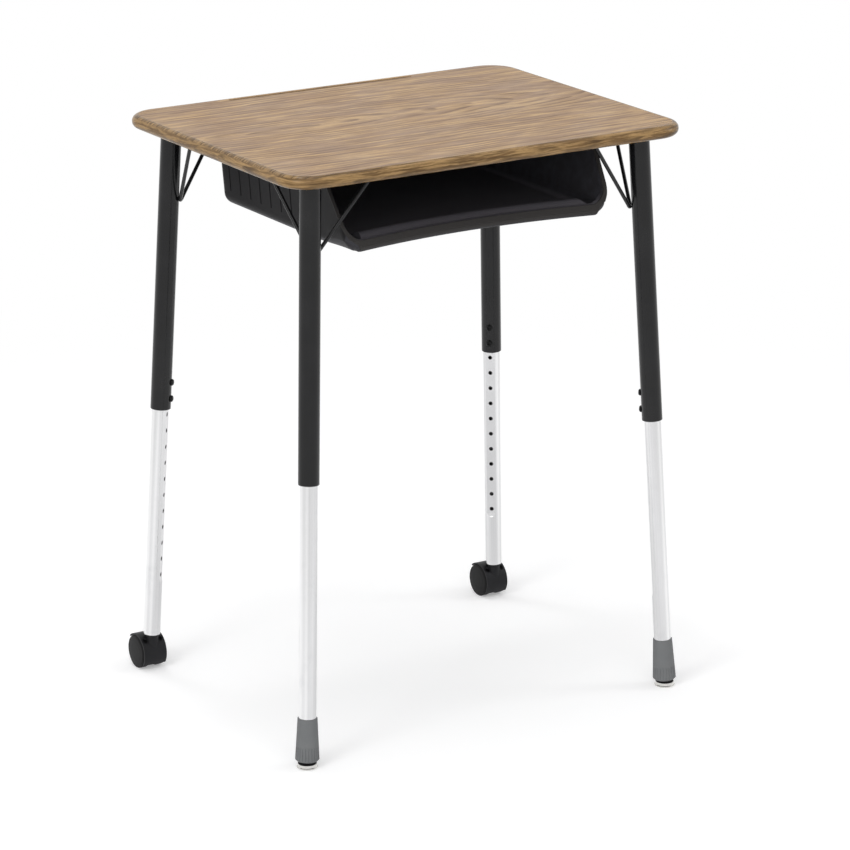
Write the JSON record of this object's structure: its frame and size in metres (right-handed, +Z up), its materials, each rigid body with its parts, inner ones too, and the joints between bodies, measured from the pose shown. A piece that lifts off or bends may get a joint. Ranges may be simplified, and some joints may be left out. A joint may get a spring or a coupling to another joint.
{
  "type": "height-adjustable study desk",
  "caption": "Single-seat study desk with a wood-grain top, open moulded book box, splayed telescoping legs with wire braces, swivel glides in front and hooded casters behind.",
  "frame": {"origin": "floor level, under the middle of the desk's outline (casters trailing to the back)", "axes": "+X to the seated user's right, +Y from the user to the back of the desk, +Z up"},
  "size_m": [0.6604, 0.531, 0.864],
  "materials": {
    "laminate": "satin wood-grain laminate, grain along X",
    "core board": "raw particle board",
    "backing sheet": "dark matt backing sheet",
    "edge moulding": "satin wood-grain edge moulding",
    "book box plastic": "black fine-textured moulding",
    "zinc screw": "zinc-plated screw",
    "black screw": "black-plated screw",
    "black frame paint": "charcoal-black fine-textured powder coat",
    "plated leg": "bright satin-plated steel tube",
    "grey foot cap": "mid-grey matt plastic",
    "stud steel": "zinc-plated steel",
    "cushion rubber": "black cushion rubber",
    "glide nickel": "nickel-plated steel",
    "socket plastic": "black plastic insert",
    "caster plastic": "black satin moulding",
    "wheel plastic": "black hard plastic wheel"
  },
  "bodies": {
    "desk": {"top_laminate": "laminate", "top_core": "core board", "top_backer": "backing sheet", "top_edge": "edge moulding", "book_box": "book box plastic", "box_screws": "zinc screw", "mount_plate_fl": "black frame paint", "mount_plate_fr": "black frame paint", "mount_plate_bl": "black frame paint", "mount_plate_br": "black frame paint", "plate_screws": "zinc screw", "upper_leg_fl": "black frame paint", "upper_leg_fr": "black frame paint", "upper_leg_bl": "black frame paint", "upper_leg_br": "black frame paint", "leg_brace_fl": "black frame paint", "leg_brace_fr": "black frame paint", "leg_brace_bl": "black frame paint", "leg_brace_br": "black frame paint", "height_screws": "black screw"},
    "leg_fl": {"lower_leg_fl": "plated leg", "foot_cap_fl": "grey foot cap", "glide_stud_fl": "stud steel"},
    "glide_fl": {"glide_base_fl": "glide nickel", "glide_washer_fl": "cushion rubber"},
    "leg_fr": {"lower_leg_fr": "plated leg", "foot_cap_fr": "grey foot cap", "glide_stud_fr": "stud steel"},
    "glide_fr": {"glide_base_fr": "glide nickel", "glide_washer_fr": "cushion rubber"},
    "leg_bl": {"lower_leg_bl": "plated leg", "stem_socket_bl": "socket plastic"},
    "caster_bl": {"caster_stem_bl": "stud steel", "caster_hood_bl": "caster plastic", "caster_axle_bl": "stud steel"},
    "wheel_bl_left": {"wheel_bl_left": "wheel plastic"},
    "wheel_bl_right": {"wheel_bl_right": "wheel plastic"},
    "leg_br": {"lower_leg_br": "plated leg", "stem_socket_br": "socket plastic"},
    "caster_br": {"caster_stem_br": "stud steel", "caster_hood_br": "caster plastic", "caster_axle_br": "stud steel"},
    "wheel_br_left": {"wheel_br_left": "wheel plastic"},
    "wheel_br_right": {"wheel_br_right": "wheel plastic"}
  },
  "joints": [
    {"name": "leg_fl_height", "type": "slide", "parent": "desk", "child": "leg_fl", "axis": [0.0429, 0.0429, 0.9982], "range_m": [0, 0.2794]},
    {"name": "glide_fl_tilt", "type": "hinge", "parent": "leg_fl", "child": "glide_fl", "pos_m": [-0.31045, -0.24826, 0.006], "axis": [0.7071, -0.7071, 0], "range_deg": [-8, 8]},
    {"name": "leg_fr_height", "type": "slide", "parent": "desk", "child": "leg_fr", "axis": [-0.0429, 0.0429, 0.9982], "range_m": [0, 0.2794]},
    {"name": "glide_fr_tilt", "type": "hinge", "parent": "leg_fr", "child": "glide_fr", "pos_m": [0.31045, -0.24826, 0.006], "axis": [0.7071, 0.7071, 0], "range_deg": [-8, 8]},
    {"name": "leg_bl_height", "type": "slide", "parent": "desk", "child": "leg_bl", "axis": [0.0429, -0.0429, 0.9982], "range_m": [0, 0.2794]},
    {"name": "caster_bl_swivel", "type": "hinge", "parent": "leg_bl", "child": "caster_bl", "pos_m": [-0.30823, 0.22302, 0.04], "axis": [0, 0, 1], "continuous": true},
    {"name": "wheel_bl_left_roll", "type": "hinge", "parent": "caster_bl", "child": "wheel_bl_left", "pos_m": [-0.30823, 0.24002, 0.0255], "axis": [1, 0, 0], "continuous": true},
    {"name": "wheel_bl_right_roll", "type": "hinge", "parent": "caster_bl", "child": "wheel_bl_right", "pos_m": [-0.30823, 0.24002, 0.0255], "axis": [1, 0, 0], "continuous": true},
    {"name": "leg_br_height", "type": "slide", "parent": "desk", "child": "leg_br", "axis": [-0.0429, -0.0429, 0.9982], "range_m": [0, 0.2794]},
    {"name": "caster_br_swivel", "type": "hinge", "parent": "leg_br", "child": "caster_br", "pos_m": [0.30823, 0.22302, 0.04], "axis": [0, 0, 1], "continuous": true},
    {"name": "wheel_br_left_roll", "type": "hinge", "parent": "caster_br", "child": "wheel_br_left", "pos_m": [0.30823, 0.24002, 0.0255], "axis": [1, 0, 0], "continuous": true},
    {"name": "wheel_br_right_roll", "type": "hinge", "parent": "caster_br", "child": "wheel_br_right", "pos_m": [0.30823, 0.24002, 0.0255], "axis": [1, 0, 0], "continuous": true}
  ]
}
